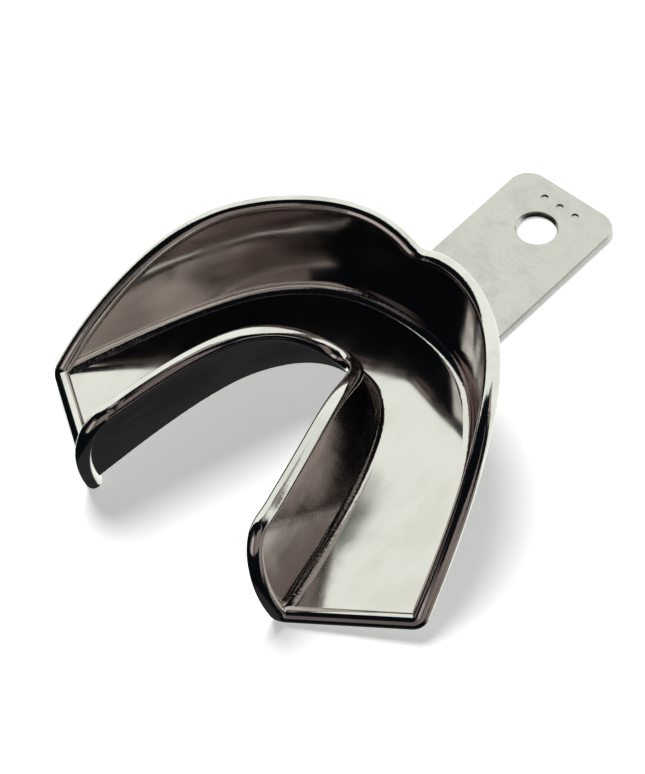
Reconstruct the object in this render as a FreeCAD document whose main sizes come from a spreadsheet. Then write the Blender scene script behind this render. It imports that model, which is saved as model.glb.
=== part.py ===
import FreeCAD, Part
import Sketcher
import math
import os

# A rim-lock lower impression tray: a pressed-metal horseshoe trough that opens upward, a round bead
# soldered along its whole edge, and a cranked flat strap for a handle. Millimetres, +Z up. +Y runs
# from the heels to the handle, the tray is symmetric about X = 0, and it stands on Z = 0.

Vector = FreeCAD.Vector

# Driving dimensions: alias, value, meaning. Angles are in degrees.
SIZES = [
    ("sheet", 0.9, "thickness of the pressed sheet"),
    ("crease", 1.8, "inside radius between the floor and a flange"),
    ("bead_radius", 1.2, "radius of the bead round the edge"),
    ("arch_front", 30.5, "front of the floor's outer edge"),
    ("arch_bow", 17.0, "fullness of the outer edge at the front"),
    ("arch_width", 34.3, "half width of the floor at the heels"),
    ("arch_back", 9.2, "outer heel corner, behind the arch's datum"),
    ("arch_splay", 20.0, "direction of the outer edge at the heel, from +Y"),
    ("arch_pull", 30.5, "how far the arms run straight on the outside"),
    ("front_trough", 13.0, "width of the floor at the front"),
    ("tongue_bow", 10.0, "fullness of the inner edge at the front"),
    ("tongue_splay", 9.0, "direction of the inner edge at the heel, from +Y"),
    ("tongue_pull", 24.5, "how far the arms run straight on the inside"),
    ("heel_length", 19.0, "width of the floor across the heel"),
    ("heel_skew", 33.0, "slant of the heel, inner corner further back"),
    ("floor_rise", 6.3, "height of the floor at the front and middle"),
    ("outer_heel_rise", 3.6, "height of the floor's outer heel corner"),
    ("outer_height", 17.3, "outer flange at its two lobes"),
    ("outer_front_lean", 3.0, "outward lean of the outer flange at the front"),
    ("outer_rear_lean", 14.0, "outward lean of the outer flange at the heel"),
    ("fraenum_depth", 3.0, "notch at the front of the outer flange"),
    ("fraenum_width", 0.10, "spread of that notch, as a share of half the arch"),
    ("lobe_end", 0.59, "where the outer flange starts to fall, as a share"),
    ("inner_front_height", 6.3, "inner flange at the front"),
    ("inner_rear_height", 17.3, "inner flange towards the heels"),
    ("inner_rise", 0.42, "how soon the inner flange gains height, as a share"),
    ("inner_front_lean", 21.0, "lean of the inner flange at the front"),
    ("inner_rear_lean", 16.0, "lean of the inner flange at the heel"),
    ("heel_round", 0.07, "length of the inner flange's rounded end, as a share"),
    ("heel_overhang", 3.7, "how far the inner flange passes the heel"),
    ("heel_lip", 0.3, "height of both flanges where they meet the heel"),
    ("strap_width", 19.05, "width of the handle"),
    ("strap_thick", 1.2, "thickness of the handle"),
    ("strap_reach", 39.4, "handle's end, in front of the floor's edge"),
    ("strap_overlap", 8.0, "length of the handle under the floor"),
    ("crank_start", 3.6, "where the crank begins, in front of the floor's edge"),
    ("crank_length", 4.2, "length of the crank along Y"),
    ("crank_bend", 1.0, "inside radius of the crank's bends"),
    ("strap_corner", 3.6, "radius of the handle's end corners"),
    ("strap_deburr", 0.2, "broken edge round the handle"),
    ("hole_radius", 3.175, "hanging hole"),
    ("hole_inset", 9.1, "hanging hole's centre, from the handle's end"),
    ("pip_radius", 0.6, "round size marks punched beyond the hole"),
    ("pip_depth", 0.25, "depth of the size marks"),
    ("pip_pitch", 3.0, "spacing of the size marks"),
    ("pip_inset", 3.4, "size marks, from the handle's end"),
    ("solder_spread", 0.16, "half length of the solder fillet, as a share of half the arch"),
    ("solder_leg", 1.5, "length of the solder fillet along the handle"),
]

# How the curved surfaces are built up.
ARM_STATIONS = 12       # cross-sections along each arm
HEEL_STATIONS = 6       # cross-sections round the inner flange's end
BEAD_FINENESS = 6       # how much closer the bead's line is sampled
BEAD_POINTS = 45        # circles along one bead
CORNER_BEND = 1.15      # a heel bar's bend, as a share of the bead's radius
RUN_ON = 1.6            # how far a bar runs past its end before it is cut, likewise
CORNER_LIFT = 0.084     # how far that bend rises above a sharp corner, likewise
SOLDER_STATIONS = 7     # cross-sections of the solder fillet

# How the heights and leans run from the front, share 0, to the heel, share 1.
HEEL_FALL_START = 0.5   # the floor starts to fall here
HEEL_FALL_POWER = 1.5
LOBE_FALL_POWER = 2.3   # how suddenly the outer flange drops behind its lobe
NOTCH_POWER = 1.4       # below 2, the notch comes to more of a point
OVERHANG_START = 0.45   # the inner flange starts to lean past the heel here
CREASE_ROOM = 0.9       # the most of a flange that its crease may take


def make_sheet(doc):
    sheet = doc.addObject("Spreadsheet::Sheet", "Sizes")
    for row, (alias, value, meaning) in enumerate(SIZES, start=1):
        sheet.set(f"A{row}", meaning)
        sheet.set(f"B{row}", str(value))
        sheet.setAlias(f"B{row}", alias)
    doc.recompute()
    return sheet


document = FreeCAD.newDocument("impression_tray")
sizes = make_sheet(document)


def size(alias):
    return float(sizes.get(alias))


# ---- the arch ----------------------------------------------------------------------------------
# Each half of the arch is described by a share u, 0 at the front centre and 1 at the heel. The
# floor's two edges are cubic Bezier curves in plan, and the flanges stand on them.


def bezier(front, bow, heel, splay, pull, u):
    angle = math.radians(splay)
    towards_front = Vector(-math.sin(angle), math.cos(angle), 0)
    corners = [Vector(0, front, 0), Vector(bow, front, 0), heel + towards_front * pull, heel]
    weights = [(1 - u) ** 3, 3 * u * (1 - u) ** 2, 3 * u * u * (1 - u), u**3]
    point = Vector()
    for weight, corner in zip(weights, corners):
        point += corner * weight
    return point


def blend(front, rear, amount):
    return front + (rear - front) * amount


def share(u, start):
    """0 up to start, then rising evenly to 1 at the heel."""
    return max(0.0, (u - start) / (1 - start))


def heel_direction():
    angle = math.radians(size("heel_skew"))
    return Vector(math.cos(angle), math.sin(angle), 0)


def outer_heel():
    return Vector(size("arch_width"), -size("arch_back"), 0)


def inner_heel():
    return outer_heel() - heel_direction() * size("heel_length")


def inner_heel_rise():
    """The bead's centre lies in the leaning sheet's middle, and its bent corner touches the ground."""
    lean = math.radians(size("inner_rear_lean"))
    centre = (1 - CORNER_LIFT) * size("bead_radius")
    return centre + size("sheet") / 2 * (1 + math.sin(lean))


def floor_height(u, heel_rise):
    fall = share(u, HEEL_FALL_START) ** HEEL_FALL_POWER
    return blend(size("floor_rise"), heel_rise, fall)


def outer_edge(u):
    front, bow = size("arch_front"), size("arch_bow")
    plan = bezier(front, bow, outer_heel(), size("arch_splay"), size("arch_pull"), u)
    return plan + Vector(0, 0, floor_height(u, size("outer_heel_rise")))


def inner_edge(u):
    front = size("arch_front") - size("front_trough")
    bow = size("tongue_bow")
    plan = bezier(front, bow, inner_heel(), size("tongue_splay"), size("tongue_pull"), u)
    return plan + Vector(0, 0, floor_height(u, inner_heel_rise()))


def outer_flange_height(u):
    fall = share(u, size("lobe_end")) ** LOBE_FALL_POWER
    lobe = blend(size("outer_height"), size("heel_lip"), fall)
    return lobe - size("fraenum_depth") * math.exp(-((u / size("fraenum_width")) ** NOTCH_POWER))


def inner_flange_height(u):
    gain = math.exp(-((u / size("inner_rise")) ** 2))
    full = blend(size("inner_rear_height"), size("inner_front_height"), gain)
    rounding = math.sqrt(1 - share(u, 1 - size("heel_round")) ** 2)
    return blend(size("heel_lip"), full, rounding)


def inner_overhang(u):
    """Grows along the arm, and closes to nothing round the inner flange's rounded end."""
    growth = share(u, OVERHANG_START) ** 2
    closing = math.sqrt(1 - share(u, 1 - size("heel_round")) ** 4)
    return size("heel_overhang") * growth * closing


class Station:
    """One cross-section of the right half: the floor's two edges and the flanges' free edges."""

    def __init__(self, u):
        self.outer = outer_edge(u)
        self.inner = inner_edge(u)
        across = self.outer - self.inner
        across.z = 0
        self.across = across.normalize()
        self.along = Vector(self.across.y, -self.across.x, 0)
        self.outer_rise = outer_flange_height(u)
        lean = blend(size("outer_front_lean"), size("outer_rear_lean"), u * u)
        self.outer_lean = self.outer_rise * math.tan(math.radians(lean))
        self.inner_rise = inner_flange_height(u)
        lean = blend(size("inner_front_lean"), size("inner_rear_lean"), u)
        self.inner_lean = self.inner_rise * math.tan(math.radians(lean))
        self.overhang = inner_overhang(u)
        self.floor_width = (self.outer - self.inner).dot(self.across)

    def place(self, across, height, overhang):
        """A point of the section: across from the inner edge, height above Z = 0."""
        foot = Vector(self.inner.x, self.inner.y, height)
        return foot + self.across * across + self.along * overhang

    def corners(self):
        """The upper face's four corners, as (across, height), from the outer rim to the inner."""
        return [
            (self.floor_width + self.outer_lean, self.outer.z + self.outer_rise),
            (self.floor_width, self.outer.z),
            (0.0, self.inner.z),
            (-self.inner_lean, self.inner.z + self.inner_rise),
        ]


def offset_corners(corners, distance):
    """The same open polyline, moved sideways to the outside of the trough by distance."""
    normals = []
    for (x0, z0), (x1, z1) in zip(corners, corners[1:]):
        length = math.hypot(x1 - x0, z1 - z0)
        normals.append(((z1 - z0) / length, (x0 - x1) / length))
    moved = []
    for index, (x, z) in enumerate(corners):
        before = normals[max(index - 1, 0)]
        after = normals[min(index, len(normals) - 1)]
        scale = distance / (1 + before[0] * after[0] + before[1] * after[1])
        moved.append((x - (before[0] + after[0]) * scale, z - (before[1] + after[1]) * scale))
    return moved


def between(start, end, ratio):
    return (blend(start[0], end[0], ratio), blend(start[1], end[1], ratio))


def distance(start, end):
    return math.hypot(end[0] - start[0], end[1] - start[1])


def turn(before, corner, after):
    """The angle through which the section turns at a corner."""
    first = math.atan2(corner[1] - before[1], corner[0] - before[0])
    second = math.atan2(after[1] - corner[1], after[0] - corner[0])
    return abs(math.remainder(second - first, 2 * math.pi))


def round_corner(flange, corner, floor, radius):
    """Start, middle and end of the arc that rounds a corner, from the flange to the floor."""
    reach = radius * math.tan(turn(flange, corner, floor) / 2)
    start = between(corner, flange, reach / distance(corner, flange))
    end = between(corner, floor, reach / distance(corner, floor))
    chord_middle = between(start, end, 0.5)
    sagitta = radius * (1 - math.cos(turn(flange, corner, floor) / 2))
    middle = between(chord_middle, corner, sagitta / distance(chord_middle, corner))
    return [start, middle, end]


def crease_radius(corners):
    """The crease's inside radius, no larger than the lower of the two flanges has room for."""
    room = []
    for flange, corner, floor in ((0, 1, 2), (3, 2, 1)):
        half_turn = turn(corners[flange], corners[corner], corners[floor]) / 2
        flange_length = distance(corners[flange], corners[corner])
        room.append(CREASE_ROOM * flange_length / math.tan(half_turn))
    return min(size("crease"), *room)


def rounded_section(corners, radius):
    """Eight points of one face: free edge, three of the first arc, three of the second, free edge."""
    outer_arc = round_corner(corners[0], corners[1], corners[2], radius)
    inner_arc = round_corner(corners[3], corners[2], corners[1], radius)
    return [corners[0]] + outer_arc + inner_arc[::-1] + [corners[3]]


def station_points(station, corners, radius):
    """The section's points in space. Only the inner flange passes the heel, more towards its top."""
    points = []
    rise = corners[3][1] - corners[2][1]
    for across, height in rounded_section(corners, radius):
        up_flange = 0.0
        if across < radius:
            up_flange = max(0.0, (height - corners[2][1]) / rise)
        points.append(station.place(across, height, station.overhang * up_flange))
    return points


def face_edges(points):
    rim, arc_a, arc_b, arc_c, arc_d, arc_e, arc_f, end = points
    return [
        Part.makeLine(rim, arc_a),
        Part.Arc(arc_a, arc_b, arc_c).toShape(),
        Part.makeLine(arc_c, arc_d),
        Part.Arc(arc_d, arc_e, arc_f).toShape(),
        Part.makeLine(arc_f, end),
    ]


def mirrored(point, side):
    return Vector(point.x * side, point.y, point.z)


def section_wire(u, side):
    station = Station(u)
    upper = station.corners()
    radius = crease_radius(upper)
    top = [mirrored(p, side) for p in station_points(station, upper, radius)]
    lower = offset_corners(upper, size("sheet"))
    under = [mirrored(p, side) for p in station_points(station, lower, radius + size("sheet"))]
    edges = face_edges(top) + [Part.makeLine(top[-1], under[-1])]
    edges += face_edges(under[::-1]) + [Part.makeLine(under[0], top[0])]
    return Part.Wire(edges)


def arch_shares(fineness):
    """Shares from the front to the heel, closer together round the inner flange's rounded end."""
    arm_end = 1 - size("heel_round")
    arm = [arm_end * k / (ARM_STATIONS * fineness) for k in range(ARM_STATIONS * fineness)]
    steps = HEEL_STATIONS * fineness
    heel = [arm_end + size("heel_round") * math.sin(math.pi / 2 * k / steps) for k in range(steps + 1)]
    return arm + heel


def round_the_arch(fineness):
    """Pairs of share and side, from the left heel round the front to the right heel."""
    half = arch_shares(fineness)
    left = [(u, -1) for u in reversed(half[1:])]
    return left + [(u, 1) for u in half]


def pressed_blank():
    wires = [section_wire(u, side) for u, side in round_the_arch(1)]
    return Part.makeLoft(wires, True, False, False, 5)


# ---- the beads ---------------------------------------------------------------------------------


def rim_middle(u, flange):
    """The middle of the sheet at a flange's free edge, where the bead's centre runs."""
    station = Station(u)
    upper = station.corners()
    lower = offset_corners(upper, size("sheet"))
    index = 0 if flange == "outer" else 3
    across, height = between(upper[index], lower[index], 0.5)
    overhang = station.overhang if flange == "inner" else 0.0
    settle = (size("heel_lip") + size("sheet") / 2) * share(u, 1 - size("heel_round")) ** 2
    return station.place(across, height - settle, overhang)


def rim_path(flange):
    """Evenly spaced points of the bead's centre line, from the left heel to the right one."""
    points = [mirrored(rim_middle(u, flange), side) for u, side in round_the_arch(BEAD_FINENESS)]
    return Part.makePolygon(points).discretize(Number=BEAD_POINTS)


def bead_circle(centre, heading, reference):
    """A circle across the bead, started in line with its neighbours so that the bar has no twist."""
    turned = FreeCAD.Rotation(reference, Vector(), heading, "ZXY")
    circle = Part.makeCircle(size("bead_radius"))
    circle.Placement = FreeCAD.Placement(centre, turned)
    return Part.Wire(circle)


def into_path(path):
    return (path[1] - path[0]).normalize()


def bend_radius():
    """The heel bar's centre line bends just wider than the bar is thick."""
    return CORNER_BEND * size("bead_radius")


def corner_reach(rim, across):
    """How far a heel bar's bend runs up the rim's bead and along the heel, from the corner."""
    return bend_radius() / math.tan(into_path(rim).getAngle(across) / 2)


def round_bar(path):
    """A bar of the bead's radius along a smooth curve, run on past both ends."""
    run_on = RUN_ON * size("bead_radius")
    stations = [path[0] - into_path(path) * run_on] + path + [path[-1] - into_path(path[::-1]) * run_on]
    reference = Vector(0, 0, 1)
    circles = []
    for k, centre in enumerate(stations):
        heading = (stations[min(k + 1, len(stations) - 1)] - stations[max(k - 1, 0)]).normalize()
        reference = (reference - heading * reference.dot(heading)).normalize()
        circles.append(bead_circle(centre, heading, reference))
    return Part.makeLoft(circles, True, False, False, 5)


def square_end(rim, across):
    """A block that takes away what a bar has short of the heel bar's bend."""
    side = 2 * RUN_ON * bend_radius() + 2 * corner_reach(rim, across)
    block = Part.makeBox(side, side, side, Vector(-side / 2, -side / 2, 0))
    facing = FreeCAD.Rotation(Vector(0, 0, 1), -into_path(rim))
    end = rim[0] + into_path(rim) * corner_reach(rim, across)
    block.Placement = FreeCAD.Placement(end, facing) * block.Placement
    return block


def rim_bar(own, other):
    """The bar along one rim, cut off square where it meets the heel bars' bent ends."""
    left = square_end(own, other[0] - own[0])
    right = square_end(own[::-1], other[-1] - own[-1])
    return round_bar(own).cut(left).cut(right)


def bend(rim, across):
    """The arc of a heel bar's bend, from the rim's bead to the heel. Across is of length one."""
    corner = rim[0]
    reach = corner_reach(rim, across)
    inward = (into_path(rim) + across).normalize()
    half_angle = into_path(rim).getAngle(across) / 2
    middle = corner + inward * bend_radius() * (1 / math.sin(half_angle) - 1)
    return Part.Arc(corner + into_path(rim) * reach, middle, corner + across * reach).toShape()


def heel_bar(outer, inner):
    """The bar across one heel, with both ends bent up the rims. Both paths start at that heel."""
    across = (inner[0] - outer[0]).normalize()
    first = bend(outer, across)
    last = bend(inner, -across)
    straight = Part.makeLine(first.valueAt(first.LastParameter), last.valueAt(last.LastParameter))
    path = Part.Wire(Part.sortEdges([first, straight, last])[0])
    start = first.valueAt(first.FirstParameter)
    return path.makePipeShell([bead_circle(start, into_path(outer), Vector(0, 0, 1))], True, False)


# ---- the solder that holds the handle ----------------------------------------------------------


SOLDER_CLIMB = 0.06     # how far the fillet climbs the flange, as a share of it
SOLDER_HOLLOW = 0.2     # how hollow its face is


def solder_section(u, side):
    """Under the front crease and out over the handle. Its back lies inside the sheet."""
    station = Station(u)
    upper = station.corners()
    radius = crease_radius(upper) + size("sheet") / 2
    middle = rounded_section(offset_corners(upper, size("sheet") / 2), radius)
    lower = rounded_section(offset_corners(upper, size("sheet")), radius + size("sheet") / 2)
    ground = size("floor_rise") - size("sheet")
    foot = between(lower[2], lower[3], 0.5)[0]
    wall_top = between(lower[1], lower[0], SOLDER_CLIMB)
    toe = (wall_top[0] + size("solder_leg"), ground)
    hollow = between(between(wall_top, toe, 0.5), (wall_top[0], ground), SOLDER_HOLLOW)
    back = [between(middle[1], middle[0], SOLDER_CLIMB), middle[2], (foot, middle[3][1])]
    outline = [(foot, ground), toe, hollow, wall_top] + back
    points = [mirrored(station.place(across, height, 0.0), side) for across, height in outline]
    start, toe, hollow, top = points[:4]
    edges = [Part.makeLine(start, toe), Part.Arc(toe, hollow, top).toShape()]
    corners = points[3:] + [start]
    edges += [Part.makeLine(a, b) for a, b in zip(corners, corners[1:])]
    return Part.Wire(edges)


def solder_blank():
    wires = []
    for k in range(SOLDER_STATIONS):
        step = 2 * k / (SOLDER_STATIONS - 1) - 1
        wires.append(solder_section(abs(step) * size("solder_spread"), -1 if step < 0 else 1))
    return Part.makeLoft(wires, True, False, False, 3)


# ---- the handle --------------------------------------------------------------------------------
# The sketches' sizes are formulae on the sheet, written in the sheet's own words.

FRONT = "Sizes.arch_front"
ROOT_TOP = "(Sizes.floor_rise - Sizes.sheet)"
ROOT_UNDER = f"({ROOT_TOP} - Sizes.strap_thick)"
CRANK_TOP = f"({FRONT} + Sizes.crank_start)"
CRANK_FOOT = f"({CRANK_TOP} + Sizes.crank_length)"
BEND_SHIFT = f"(Sizes.strap_thick * tan(atan({ROOT_UNDER} / Sizes.crank_length) / 2))"
STRAP_END = f"({FRONT} + Sizes.strap_reach)"
SIDE_PROFILE = [
    (f"{FRONT} - Sizes.strap_overlap", ROOT_TOP),
    (CRANK_TOP, ROOT_TOP),
    (CRANK_FOOT, "Sizes.strap_thick"),
    (STRAP_END, "Sizes.strap_thick"),
    (STRAP_END, "0"),
    (f"{CRANK_FOOT} - {BEND_SHIFT}", "0"),
    (f"{CRANK_TOP} - {BEND_SHIFT}", ROOT_UNDER),
    (f"{FRONT} - Sizes.strap_overlap", ROOT_UNDER),
]


def origin_plane(body, role):
    return next(feature for feature in body.Origin.OriginFeatures if feature.Role == role)


def new_sketch(body, name, role):
    sketch = body.newObject("Sketcher::SketchObject", name)
    sketch.AttachmentSupport = [(origin_plane(body, role), "")]
    sketch.MapMode = "FlatFace"
    return sketch


def evaluate(formula):
    return float(sizes.evalExpression(formula))


def pin_point(sketch, geometry, end, name, across, up):
    """Holds one point of a sketch at a place given by two formulae."""
    for kind, line, formula in (("DistanceX", -2, across), ("DistanceY", -1, up)):
        if formula == "0":
            sketch.addConstraint(Sketcher.Constraint("PointOnObject", geometry, end, line))
            continue
        value = evaluate(formula)
        index = sketch.addConstraint(Sketcher.Constraint(kind, -1, 1, geometry, end, value))
        sketch.renameConstraint(index, f"{name}_{kind}")
        sketch.setExpression(f"Constraints.{name}_{kind}", formula)


def outline_sketch(body, name, role, corners):
    """A closed outline of straight lines whose corners are formulae on the sheet."""
    sketch = new_sketch(body, name, role)
    places = [Vector(evaluate(across), evaluate(up), 0) for across, up in corners]
    for start, end in zip(places, places[1:] + places[:1]):
        sketch.addGeometry(Part.LineSegment(start, end))
    for k in range(len(corners)):
        following = (k + 1) % len(corners)
        sketch.addConstraint(Sketcher.Constraint("Coincident", k, 2, following, 1))
    for k, (across, up) in enumerate(corners):
        pin_point(sketch, k, 1, f"corner{k}", across, up)
    return sketch


def circle_sketch(body, name, across, up, radius):
    sketch = new_sketch(body, name, "XY_Plane")
    centre = Vector(evaluate(across), evaluate(up), 0)
    sketch.addGeometry(Part.Circle(centre, Vector(0, 0, 1), evaluate(radius)))
    pin_point(sketch, 0, 3, "centre", across, up)
    index = sketch.addConstraint(Sketcher.Constraint("Radius", 0, evaluate(radius)))
    sketch.renameConstraint(index, "radius")
    sketch.setExpression("Constraints.radius", radius)
    return sketch


def edges_where(feature, test):
    """Names of the feature's edges whose two ends and middle all pass a test."""
    names = []
    for number, edge in enumerate(feature.Shape.Edges, start=1):
        middle = edge.valueAt((edge.FirstParameter + edge.LastParameter) / 2)
        if all(test(point) for point in [vertex.Point for vertex in edge.Vertexes] + [middle]):
            names.append(f"Edge{number}")
    return names


def dress(body, kind, name, base, test, property_name, formula):
    """A fillet or chamfer on every edge that passes a test."""
    document.recompute()
    names = edges_where(base, test)
    if not names:
        raise ValueError(f"{name} found no edges")
    feature = body.newObject(f"PartDesign::{kind}", name)
    feature.Base = (base, names)
    feature.setExpression(property_name, formula)
    body.Tip = feature
    return feature


def near(value, target):
    return abs(value - target) < 1e-4


def close(volume, expected):
    """Within one percent."""
    return abs(volume - expected) < 0.01 * expected


def cross_bend(across, up):
    """Tests for the edge that runs across the strap at one bend of its side profile."""
    return lambda point: near(point.y, evaluate(across)) and near(point.z, evaluate(up))


def cut_through(body, sketch, name):
    pocket = body.newObject("PartDesign::Pocket", name)
    pocket.Profile = sketch
    pocket.SideType = "Symmetric"
    pocket.Type = "ThroughAll"
    body.Tip = pocket
    return pocket


def bent_strap(body):
    pad = body.newObject("PartDesign::Pad", "Strap")
    pad.Profile = outline_sketch(body, "SideProfile", "YZ_Plane", SIDE_PROFILE)
    pad.SideType = "Symmetric"
    pad.setExpression("Length", "Sizes.strap_width")
    body.Tip = pad
    feature = pad
    inside = "Sizes.crank_bend"
    outside = "Sizes.crank_bend + Sizes.strap_thick"
    bends = [(1, outside), (6, inside), (2, inside), (5, outside)]
    for corner, radius in bends:
        test = cross_bend(*SIDE_PROFILE[corner])
        feature = dress(body, "Fillet", f"Bend{corner}", feature, test, "Radius", radius)
    return feature


def drilled_strap(body, feature):
    document.recompute()
    before = feature.Shape.Volume
    up = f"{STRAP_END} - Sizes.hole_inset"
    circle = circle_sketch(body, "HoleCircle", "0", up, "Sizes.hole_radius")
    hole = cut_through(body, circle, "HangingHole")
    document.recompute()
    drilled = before - hole.Shape.Volume
    expected = math.pi * size("hole_radius") ** 2 * size("strap_thick")
    if not close(drilled, expected):
        raise ValueError("the hanging hole didn't cut the strap")
    return hole


def finished_strap(body, feature):
    end = evaluate(STRAP_END)
    side = size("strap_width") / 2
    thick = size("strap_thick")
    flat_start = evaluate(CRANK_FOOT) + size("crank_bend") + thick

    def at_corner(point):
        return near(point.y, end) and near(abs(point.x), side)

    def round_a_flat_face(point):
        return point.y > flat_start and (near(point.z, 0) or near(point.z, thick))

    corners = dress(body, "Fillet", "EndCorners", feature, at_corner, "Radius", "Sizes.strap_corner")
    return dress(body, "Chamfer", "Deburr", corners, round_a_flat_face, "Size", "Sizes.strap_deburr")


MARKS = 3


def punch_marks(body, before):
    """A short row of round punch marks that tells the tray's size."""
    up = f"{STRAP_END} - Sizes.pip_inset"
    marks = circle_sketch(body, "MarkCircle", "-Sizes.pip_pitch", up, "Sizes.pip_radius")
    marks.setExpression("AttachmentOffset.Base.z", "Sizes.strap_thick")
    pocket = body.newObject("PartDesign::Pocket", "SizeMark")
    pocket.Profile = marks
    pocket.setExpression("Length", "Sizes.pip_depth")
    body.Tip = pocket
    document.recompute()
    row = body.newObject("PartDesign::LinearPattern", "SizeMarks")
    row.Originals = [pocket]
    row.Direction = (marks, ["H_Axis"])
    row.Occurrences = MARKS
    row.setExpression("Length", f"{MARKS - 1} * Sizes.pip_pitch")
    body.Tip = row
    document.recompute()
    punched = before.Shape.Volume - row.Shape.Volume
    expected = MARKS * math.pi * size("pip_radius") ** 2 * size("pip_depth")
    if not close(punched, expected):
        raise ValueError("the size marks didn't cut the strap")


def make_handle(label):
    body = document.addObject("PartDesign::Body", "Handle")
    body.Label = label
    feature = drilled_strap(body, bent_strap(body))
    punch_marks(body, finished_strap(body, feature))
    return body


# ---- the document ------------------------------------------------------------------------------


def make_feature(name, label, shape):
    """A document object that holds one solid worked out from the sheet."""
    if len(shape.Solids) != 1:
        raise ValueError(f"{label} should be one solid, and is {len(shape.Solids)}")
    feature = document.addObject("Part::Feature", name)
    feature.Label = label
    feature.Shape = shape.Solids[0]
    return feature


def frame_shift(outer_path, inner_path):
    """Moves the tray so that the middle of its length lies at the origin."""
    back = min(point.y for point in inner_path + outer_path) - size("bead_radius")
    return Vector(0, -(back + evaluate(STRAP_END)) / 2, 0)


def make_tray():
    outer = rim_path("outer")
    inner = rim_path("inner")
    blank = pressed_blank()
    parts = {
        "tray_shell": make_feature("Shell", "tray_shell", blank),
        "buccal_rim_wire": make_feature("BuccalRim", "buccal_rim_wire", rim_bar(outer, inner)),
        "lingual_rim_wire": make_feature("LingualRim", "lingual_rim_wire", rim_bar(inner, outer)),
        "left_heel_wire": make_feature("LeftHeel", "left_heel_wire", heel_bar(outer, inner)),
        "handle": make_handle("handle"),
    }
    right_heel = heel_bar(outer[::-1], inner[::-1])
    parts["right_heel_wire"] = make_feature("RightHeel", "right_heel_wire", right_heel)
    document.recompute()
    solder = solder_blank().cut(blank).cut(parts["handle"].Shape)
    parts["handle_solder"] = make_feature("Solder", "handle_solder", solder)
    shift = FreeCAD.Placement(frame_shift(outer, inner), FreeCAD.Rotation())
    for part in parts.values():
        part.Placement = shift
    return parts


def check(parts):
    document.recompute()
    for item in document.Objects:
        if {"Invalid", "Error"} & set(item.State):
            raise ValueError(f"{item.Label} didn't recompute: {item.State}")
    for label, part in parts.items():
        if part.Shape.isNull() or not part.Shape.isValid():
            raise ValueError(f"{label} has no valid shape")


def write(parts):
    os.makedirs("parts", exist_ok=True)
    for label, part in parts.items():
        part.Shape.exportStep(f"parts/{label}.step")
        box = part.Shape.optimalBoundingBox()
        print(f"{label}: {part.Shape.Volume:.1f} cubic mm, resting at {box.ZMin:.3f}, back to {box.YMin:.2f}")


tray = make_tray()
check(tray)
write(tray)
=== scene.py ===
import math

import bpy
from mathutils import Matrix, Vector


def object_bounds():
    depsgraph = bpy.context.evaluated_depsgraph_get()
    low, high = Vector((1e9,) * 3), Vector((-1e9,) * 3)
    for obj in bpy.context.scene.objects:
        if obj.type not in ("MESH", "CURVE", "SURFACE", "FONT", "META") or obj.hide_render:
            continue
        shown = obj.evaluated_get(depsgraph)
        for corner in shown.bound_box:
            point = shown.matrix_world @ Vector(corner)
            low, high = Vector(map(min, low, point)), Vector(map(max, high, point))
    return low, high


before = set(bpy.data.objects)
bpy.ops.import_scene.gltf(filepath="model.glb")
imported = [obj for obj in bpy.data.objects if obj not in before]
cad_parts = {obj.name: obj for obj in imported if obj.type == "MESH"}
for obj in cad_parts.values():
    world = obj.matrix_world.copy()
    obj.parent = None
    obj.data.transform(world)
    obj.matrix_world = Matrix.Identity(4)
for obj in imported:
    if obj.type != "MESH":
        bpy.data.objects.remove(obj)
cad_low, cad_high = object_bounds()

# Looks of a plated metal impression tray: its materials, and the room that it mirrors. Metres.

MM = 0.001

# The camera looks down at the tray from behind its right heel, with a long lens.
CAMERA_AZIMUTH = math.radians(40.85)
CAMERA_ELEVATION = math.radians(51.27)
CAMERA_DISTANCE = 571.6 * MM
CAMERA_LENS = 177.95
SENSOR_WIDTH = 36.0
NEAREST = 10 * MM
LOOK_AT = Vector((-5.04 * MM, -6.84 * MM, 0))


# ---- node helpers ------------------------------------------------------------------------------


class Tree:
    """A short way to write shader nodes: a call adds nodes, and links or sets what it is given."""

    def __init__(self, tree):
        self.tree = tree
        tree.nodes.clear()

    def node(self, kind, inputs=(), **settings):
        node = self.tree.nodes.new(kind)
        for name, value in settings.items():
            setattr(node, name, value)
        for name, value in dict(inputs).items():
            self.feed(node.inputs[name], value)
        return node

    def feed(self, socket, value):
        if isinstance(value, bpy.types.NodeSocket):
            self.tree.links.new(value, socket)
        else:
            socket.default_value = value

    def maths(self, operation, first, second=0.0):
        return self.node("ShaderNodeMath", {0: first, 1: second}, operation=operation).outputs[0]

    def noise(self, vector, scale, detail=2.0, roughness=0.5):
        inputs = {"Vector": vector, "Scale": scale, "Detail": detail, "Roughness": roughness}
        return self.node("ShaderNodeTexNoise", inputs).outputs["Fac"]

    def stretch(self, vector, scale):
        inputs = {"Vector": vector, "Scale": scale}
        return self.node("ShaderNodeMapping", inputs).outputs["Vector"]

    def between(self, value, low, high, from_value, to_value):
        """value's stretch from low to high, mapped smoothly to the stretch from_value to to_value."""
        inputs = {"Value": value, "From Min": low, "From Max": high, "To Min": from_value, "To Max": to_value}
        node = self.node("ShaderNodeMapRange", inputs, interpolation_type="SMOOTHSTEP")
        return node.outputs["Result"]

    def mix(self, amount, first, second):
        """A colour between first and second."""
        node = self.node("ShaderNodeMix", data_type="RGBA")
        self.feed(node.inputs["Factor"], amount)
        for socket, colour in zip([s for s in node.inputs if s.type == "RGBA"], (first, second)):
            self.feed(socket, colour)
        return next(s for s in node.outputs if s.type == "RGBA")

    def bump(self, height, strength, distance, normal=None):
        inputs = {"Height": height, "Strength": strength, "Distance": distance}
        if normal is not None:
            inputs["Normal"] = normal
        return self.node("ShaderNodeBump", inputs).outputs["Normal"]


def new_material(name):
    material = bpy.data.materials.new(name)
    material.use_nodes = True
    return material, Tree(material.node_tree)


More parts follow.
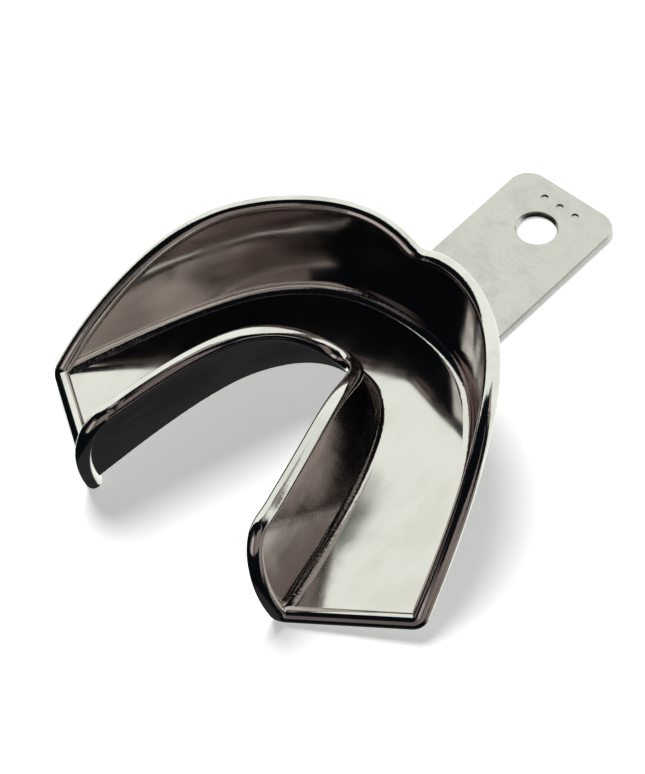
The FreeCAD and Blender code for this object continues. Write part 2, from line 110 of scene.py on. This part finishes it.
def finish_metal(tree, colour, roughness, normal):
    inputs = {"Base Color": colour, "Metallic": 1.0, "Roughness": roughness, "Normal": normal}
    shader = tree.node("ShaderNodeBsdfPrincipled", inputs)
    tree.node("ShaderNodeOutputMaterial", {"Surface": shader.outputs["BSDF"]})


# ---- the metals --------------------------------------------------------------------------------
# The plate's colours are warmer and darker than nickel. They are matched to the greenish window below,
# so that one bounce looks greenish white and three bounces look brown.

SHEET_BRIGHT = (0.57, 0.515, 0.505)
SHEET_DULL = (0.54, 0.48, 0.47)
BEAD_BRIGHT = (0.60, 0.55, 0.54)
BEAD_DULL = (0.52, 0.47, 0.46)
# Colour of the painted dark reflection on the trough's walls.
PAINTED_WALL_REFLECTION = (0.37, 0.32, 0.315)
PLATE_ROUGHNESS = 0.08


def paint_wall_reflection(tree, place, colour):
    """Darker smear-shaped blotches on the trough's walls above its floor. This is a painted dark reflection
    that stands in for the dark room the walls mirror.
    """
    height = tree.node("ShaderNodeSeparateXYZ", {0: place}).outputs["Z"]
    above_floor = tree.between(height, 6.5 * MM, 12 * MM, 0.0, 1.0)
    smears = tree.noise(tree.stretch(place, (1.0, 0.7, 1.8)), 95.0, 3.0, 0.5)
    painted_reflection = tree.maths("MULTIPLY", tree.between(smears, 0.40, 0.64, 0.0, 1.0), above_floor)
    return tree.mix(painted_reflection, colour, (*PAINTED_WALL_REFLECTION, 1))


def polished_plate(name, bright, dull, waviness, painted_wall_reflection=False):
    """Buffed nickel plate: the pressing's slow waves, hairlines and hazy smears."""
    material, tree = new_material(name)
    place = tree.node("ShaderNodeTexCoord").outputs["Object"]
    smears = tree.noise(tree.stretch(place, (1.0, 0.45, 1.0)), 190.0, 4.0, 0.55)
    haze = tree.between(smears, 0.42, 0.66, 0.0, 1.0)
    hairlines = tree.noise(tree.stretch(place, (1.0, 0.06, 1.0)), 5200.0, 2.0, 0.6)
    scratches = tree.between(hairlines, 0.6, 0.75, 0.0, 1.0)
    colour = tree.mix(haze, (*bright, 1), (*dull, 1))
    # Painted dark reflection: darker blotches mixed into the plate's colour on the walls above the floor.
    if painted_wall_reflection:
        colour = paint_wall_reflection(tree, place, colour)
    gloss = tree.maths("ADD", tree.maths("MULTIPLY", haze, 0.05), PLATE_ROUGHNESS)
    gloss = tree.maths("ADD", gloss, tree.maths("MULTIPLY", scratches, 0.03))
    waves = tree.noise(place, 95.0, 1.0, 0.4)
    normal = tree.bump(waves, waviness, 0.6 * MM)
    finish_metal(tree, colour, gloss, normal)
    return material


def satin_plate(name):
    """The handle's matt plate: fine grain across the strap, pits, and greyish finger marks."""
    material, tree = new_material(name)
    place = tree.node("ShaderNodeTexCoord").outputs["Object"]
    grain = tree.noise(tree.stretch(place, (0.12, 1.0, 1.0)), 3600.0, 3.0, 0.6)
    marks = tree.noise(place, 240.0, 4.0, 0.6)
    marked = tree.between(marks, 0.45, 0.7, 0.0, 1.0)
    pits = tree.between(tree.noise(place, 1900.0, 1.0, 0.5), 0.68, 0.78, 0.0, 1.0)
    colour = tree.mix(marked, (0.53, 0.485, 0.470, 1), (0.47, 0.435, 0.420, 1))
    colour = tree.mix(tree.maths("MULTIPLY", pits, 0.5), colour, (0.33, 0.30, 0.29, 1))
    gloss = tree.between(grain, 0.3, 0.7, 0.30, 0.42)
    normal = tree.bump(grain, 0.12, 0.03 * MM)
    normal = tree.bump(pits, -0.25, 0.04 * MM, normal)
    finish_metal(tree, colour, gloss, normal)
    return material


def soft_solder(name):
    """Tin solder that froze in ripples under the plate."""
    material, tree = new_material(name)
    place = tree.node("ShaderNodeTexCoord").outputs["Object"]
    ripples = tree.noise(place, 700.0, 3.0, 0.55)
    colour = tree.mix(ripples, (0.60, 0.60, 0.565, 1), (0.42, 0.42, 0.40, 1))
    gloss = tree.between(ripples, 0.3, 0.7, 0.16, 0.32)
    normal = tree.bump(ripples, 0.3, 0.12 * MM)
    finish_metal(tree, colour, gloss, normal)
    return material


def dress_nodes():
    # The sheet gets the painted dark reflection on its walls.
    sheet = polished_plate("plated_sheet_metal", SHEET_BRIGHT, SHEET_DULL, 0.10, True)
    bead = polished_plate("plated_bead_metal", BEAD_BRIGHT, BEAD_DULL, 0.02)
    handle = satin_plate("satin_handle_metal")
    solder = soft_solder("solder_metal")
    metals = {
        "tray_shell": sheet,
        "buccal_rim_wire": bead,
        "lingual_rim_wire": bead,
        "left_heel_wire": bead,
        "right_heel_wire": bead,
        "handle": handle,
        "handle_solder": solder,
    }
    for name, metal in metals.items():
        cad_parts[name].material_slots[0].material = metal


# ---- the studio --------------------------------------------------------------------------------


FLOOR_SIDE = 6.0
LIGHT_TABLE = 0.46


def direction(azimuth, elevation):
    """A unit vector. Azimuth is in degrees from +Y towards +X, elevation above the horizon."""
    a = math.radians(azimuth)
    e = math.radians(elevation)
    return Vector((math.sin(a) * math.cos(e), math.cos(a) * math.cos(e), math.sin(e)))


def lay_floor():
    """A pale table that glows a little, so that no shadow on it is deep. The metal doesn't mirror it."""
    bpy.ops.mesh.primitive_plane_add(size=FLOOR_SIDE, location=(0, 0, cad_low.z))
    floor = bpy.context.object
    floor.name = "studio_floor"
    material, tree = new_material("pale_floor")
    inputs = {"Base Color": (0.86, 0.86, 0.86, 1), "Roughness": 0.9, "Emission Strength": LIGHT_TABLE}
    shader = tree.node("ShaderNodeBsdfPrincipled", inputs)
    shader.inputs["Emission Color"].default_value = (1, 1, 1, 1)
    tree.node("ShaderNodeOutputMaterial", {"Surface": shader.outputs["BSDF"]})
    floor.data.materials.append(material)
    floor.visible_glossy = False


# What the metal mirrors, in degrees round the tray: azimuth from, azimuth to, elevation from, elevation
# to, softness of the edges, colour. A later panel covers an earlier one. The panels are set so that the
# tray's reflections look right from the camera's place, and they are not a record of a real room.
WINDOW = (1.31, 1.46, 1.33)
PANELS = [
    (-205, -152, -12, 38, 10, (0.115, 0.107, 0.102)),
    (142, 205, -12, 34, 8, (0.200, 0.180, 0.172)),
    (167, 205, -14, 26, 6, (0.700, 0.640, 0.610)),
    (-205, -167, -14, 26, 6, (0.700, 0.640, 0.610)),
    (92, 142, -8, 45, 6, (0.310, 0.275, 0.250)),
    (84, 92, -20, 74, 4, (0.240, 0.210, 0.200)),
    (56, 88, -38, 2, 8, (0.360, 0.320, 0.300)),
    (-205, 205, -95, -60, 6, (0.033, 0.036, 0.037)),
    (-32, 60, 56, 81, 6, (0.450, 0.430, 0.400)),
    (44, 64, 40, 60, 6, (0.360, 0.335, 0.310)),
    (-102, 56, -18, 34, 5, WINDOW),
    (-75, 50, -58, 0, 5, WINDOW),
    (-100, 52, 25, 52, 5, WINDOW),
    (-99, 44, 45, 62, 5, WINDOW),
    (-92, 26, 55, 67, 4, WINDOW),
    (-84, -28, 62, 71, 4, WINDOW),
]
ROOM = (0.004, 0.006, 0.008)
BACKDROP = (0.85, 0.85, 0.85)
ON_THE_FLOOR = 0.12


def inside(tree, angle, low, high, softness):
    """1 between two angles and 0 outside them, with soft edges."""
    half = softness / 2
    rising = tree.between(angle, low - half, low + half, 0.0, 1.0)
    falling = tree.between(angle, high - half, high + half, 1.0, 0.0)
    return tree.maths("MULTIPLY", rising, falling)


def surround():
    """The panels for reflections, a plain backdrop for the camera, and dimmer panels to light the floor."""
    world = bpy.data.worlds.new("studio")
    bpy.context.scene.world = world
    world.use_nodes = True
    tree = Tree(world.node_tree)
    towards = tree.node("ShaderNodeTexCoord").outputs["Generated"]
    parts = tree.node("ShaderNodeSeparateXYZ", {0: towards}).outputs
    azimuth = tree.maths("DEGREES", tree.maths("ARCTAN2", parts["X"], parts["Y"]))
    elevation = tree.maths("DEGREES", tree.maths("ARCSINE", parts["Z"]))
    colour = (*ROOM, 1)
    for left, right, bottom, top, softness, glow in PANELS:
        across = inside(tree, azimuth, left, right, softness)
        up = inside(tree, elevation, bottom, top, softness)
        colour = tree.mix(tree.maths("MULTIPLY", across, up), colour, (*glow, 1))
    path = tree.node("ShaderNodeLightPath").outputs
    colour = tree.mix(path["Is Camera Ray"], colour, (*BACKDROP, 1))
    strength = tree.between(path["Is Diffuse Ray"], 0.0, 1.0, 1.0, ON_THE_FLOOR)
    shader = tree.node("ShaderNodeBackground", {"Color": colour, "Strength": strength})
    tree.node("ShaderNodeOutputWorld", {"Surface": shader.outputs["Background"]})


def hang_light(name, towards, distance, size, power):
    """A round lamp that lights the floor and isn't mirrored in the metal."""
    light = bpy.data.lights.new(name, "AREA")
    light.shape = "DISK"
    light.size = size
    light.energy = power
    lamp = bpy.data.objects.new(name, light)
    bpy.context.scene.collection.objects.link(lamp)
    lamp.location = towards * distance
    lamp.rotation_mode = "QUATERNION"
    lamp.rotation_quaternion = towards.to_track_quat("Z", "Y")
    lamp.visible_glossy = False


def place_camera():
    data = bpy.data.cameras.new("photo_camera")
    camera = bpy.data.objects.new("photo_camera", data)
    bpy.context.scene.collection.objects.link(camera)
    flat = math.cos(CAMERA_ELEVATION)
    back = Vector((
        math.sin(CAMERA_AZIMUTH) * flat,
        -math.cos(CAMERA_AZIMUTH) * flat,
        math.sin(CAMERA_ELEVATION),
    ))
    camera.location = LOOK_AT + back * CAMERA_DISTANCE
    camera.rotation_mode = "QUATERNION"
    camera.rotation_quaternion = back.to_track_quat("Z", "Y")
    data.lens = CAMERA_LENS
    data.sensor_width = SENSOR_WIDTH
    data.clip_start = NEAREST
    bpy.context.scene.camera = camera


dress_nodes()
lay_floor()
surround()
hang_light("key_light", direction(-76, 71), 0.9, 0.50, 8.0)
place_camera()
bpy.context.scene.view_settings.view_transform = "Standard"
